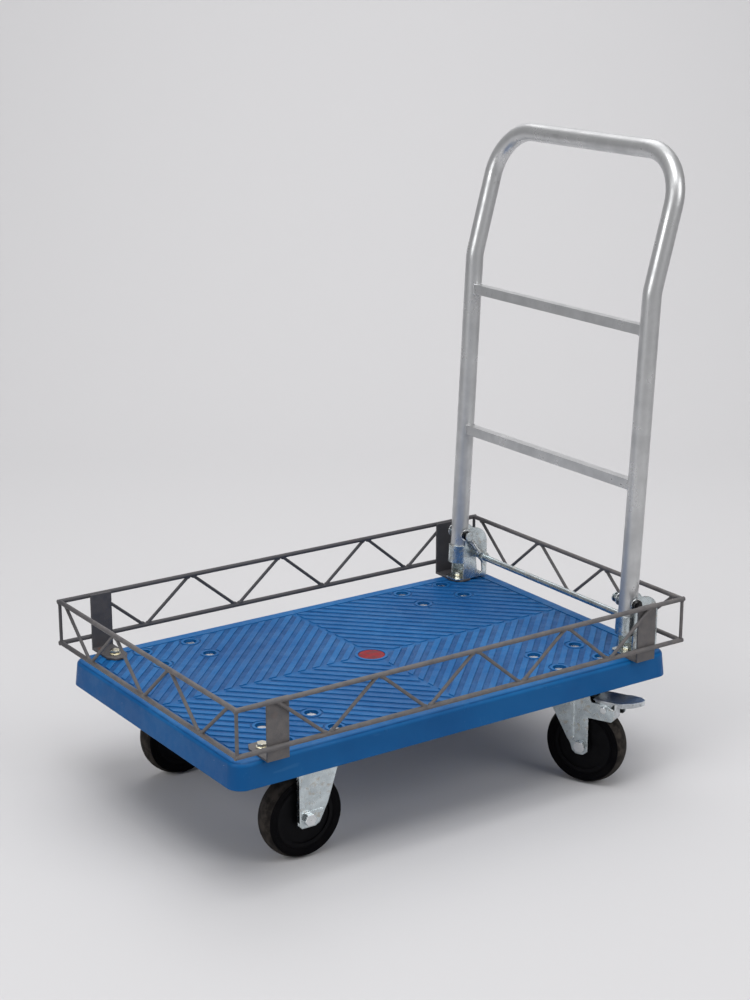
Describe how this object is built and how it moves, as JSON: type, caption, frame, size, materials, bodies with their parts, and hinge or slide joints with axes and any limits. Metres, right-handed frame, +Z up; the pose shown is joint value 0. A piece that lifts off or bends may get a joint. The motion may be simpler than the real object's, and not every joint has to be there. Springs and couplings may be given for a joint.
{
  "type": "folding platform cart",
  "caption": "Platform cart with a moulded deck, a low lattice guard rail, a fold-down push handle, fixed casters in front and braked swivel casters behind.",
  "frame": {"origin": "on the floor, under the middle of the bounding box", "axes": "+X toward the handle end, +Y toward the right-hand side of a person who pushes it, +Z up"},
  "size_m": [0.7996, 0.5728, 0.944],
  "materials": {
    "deck_blue": "satin",
    "disc_red": "satin",
    "rail_grey": "matt",
    "handle_silver": "satin",
    "zinc_plate": "bright zinc",
    "fastener_zinc": "bright zinc",
    "bolt_yellow_zinc": "yellowish zinc",
    "spring_steel": "satin",
    "cap_black": "satin",
    "tyre_black": "matt",
    "hub_black": "satin",
    "pedal_zinc": "worn zinc"
  },
  "bodies": {
    "chassis": {"deck": "deck_blue", "centre_disc": "disc_red", "rail_upper_bars": "rail_grey", "rail_lower_bars": "rail_grey", "rail_corner_posts": "rail_grey", "rail_side_diagonals": "rail_grey", "rail_end_diagonals": "rail_grey", "rail_bracket_front_left": "rail_grey", "rail_bracket_front_right": "rail_grey", "rail_bracket_rear_left": "rail_grey", "rail_bracket_rear_right": "rail_grey", "rail_bolts": "bolt_yellow_zinc", "rail_washers": "bolt_yellow_zinc", "rail_nuts": "bolt_yellow_zinc", "hinge_bracket_left": "zinc_plate", "hinge_bracket_right": "zinc_plate", "pivot_bolts": "zinc_plate", "pivot_washers": "fastener_zinc", "pivot_caps": "cap_black", "release_spring_left": "spring_steel", "release_spring_right": "spring_steel", "fixed_fork_left": "zinc_plate", "fixed_fork_right": "zinc_plate", "fixed_axle_bolts": "fastener_zinc", "fixed_axle_nuts": "fastener_zinc", "fixed_sleeves": "fastener_zinc", "caster_bolts": "fastener_zinc", "caster_nuts": "fastener_zinc", "swivel_plate_left": "zinc_plate", "swivel_plate_right": "zinc_plate", "bearing_rings": "fastener_zinc", "kingpins": "fastener_zinc"},
    "handle": {"handle_tube": "handle_silver", "crossbar_lower": "handle_silver", "crossbar_upper": "handle_silver", "tube_plugs": "cap_black"},
    "release": {"release_rod": "zinc_plate", "release_collars": "zinc_plate"},
    "wheel_fixed_left": {"fixed_tyre_left": "tyre_black", "fixed_hub_left": "hub_black"},
    "wheel_fixed_right": {"fixed_tyre_right": "tyre_black", "fixed_hub_right": "hub_black"},
    "swivel_left": {"swivel_fork_left": "zinc_plate", "swivel_axle_bolt_left": "fastener_zinc", "swivel_axle_nut_left": "fastener_zinc", "swivel_sleeve_left": "fastener_zinc", "pedal_pin_left": "fastener_zinc"},
    "wheel_swivel_left": {"swivel_tyre_left": "tyre_black", "swivel_hub_left": "hub_black"},
    "pedal_left": {"brake_pedal_left": "pedal_zinc", "brake_shoe_left": "pedal_zinc"},
    "swivel_right": {"swivel_fork_right": "zinc_plate", "swivel_axle_bolt_right": "fastener_zinc", "swivel_axle_nut_right": "fastener_zinc", "swivel_sleeve_right": "fastener_zinc", "pedal_pin_right": "fastener_zinc"},
    "wheel_swivel_right": {"swivel_tyre_right": "tyre_black", "swivel_hub_right": "hub_black"},
    "pedal_right": {"brake_pedal_right": "pedal_zinc", "brake_shoe_right": "pedal_zinc"}
  },
  "joints": [
    {"name": "handle_fold", "type": "hinge", "parent": "chassis", "child": "handle", "pos_m": [0.30867, 0, 0.272], "axis": [0, 1, 0], "range_deg": [-92.9, 0]},
    {"name": "release_press", "type": "slide", "parent": "chassis", "child": "release", "axis": [0.1104, 0, -0.9939], "range_m": [0, 0.026], "stiffness_N_per_m": 600, "springref_m": -0.02, "deforming": ["release_spring_left", "release_spring_right"]},
    {"name": "wheel_spin_fixed_left", "type": "hinge", "parent": "chassis", "child": "wheel_fixed_left", "pos_m": [-0.24893, -0.1713, 0.0625], "axis": [0, 1, 0], "continuous": true},
    {"name": "caster_swivel_left", "type": "hinge", "parent": "chassis", "child": "swivel_left", "pos_m": [0.22627, -0.1713, 0.14], "axis": [0, 0, 1], "continuous": true},
    {"name": "wheel_spin_swivel_left", "type": "hinge", "parent": "swivel_left", "child": "wheel_swivel_left", "pos_m": [0.24135, -0.20366, 0.0625], "axis": [0.9063, 0.4226, 0], "continuous": true},
    {"name": "brake_press_left", "type": "hinge", "parent": "swivel_left", "child": "pedal_left", "pos_m": [0.25627, -0.23565, 0.127], "axis": [0.9063, 0.4226, 0], "range_deg": [0, 12]},
    {"name": "wheel_spin_fixed_right", "type": "hinge", "parent": "chassis", "child": "wheel_fixed_right", "pos_m": [-0.24893, 0.1713, 0.0625], "axis": [0, 1, 0], "continuous": true},
    {"name": "caster_swivel_right", "type": "hinge", "parent": "chassis", "child": "swivel_right", "pos_m": [0.22627, 0.1713, 0.14], "axis": [0, 0, 1], "continuous": true},
    {"name": "wheel_spin_swivel_right", "type": "hinge", "parent": "swivel_right", "child": "wheel_swivel_right", "pos_m": [0.24135, 0.20366, 0.0625], "axis": [-0.9063, 0.4226, 0], "continuous": true},
    {"name": "brake_press_right", "type": "hinge", "parent": "swivel_right", "child": "pedal_right", "pos_m": [0.25627, 0.23565, 0.127], "axis": [-0.9063, 0.4226, 0], "range_deg": [0, 12]}
  ]
}
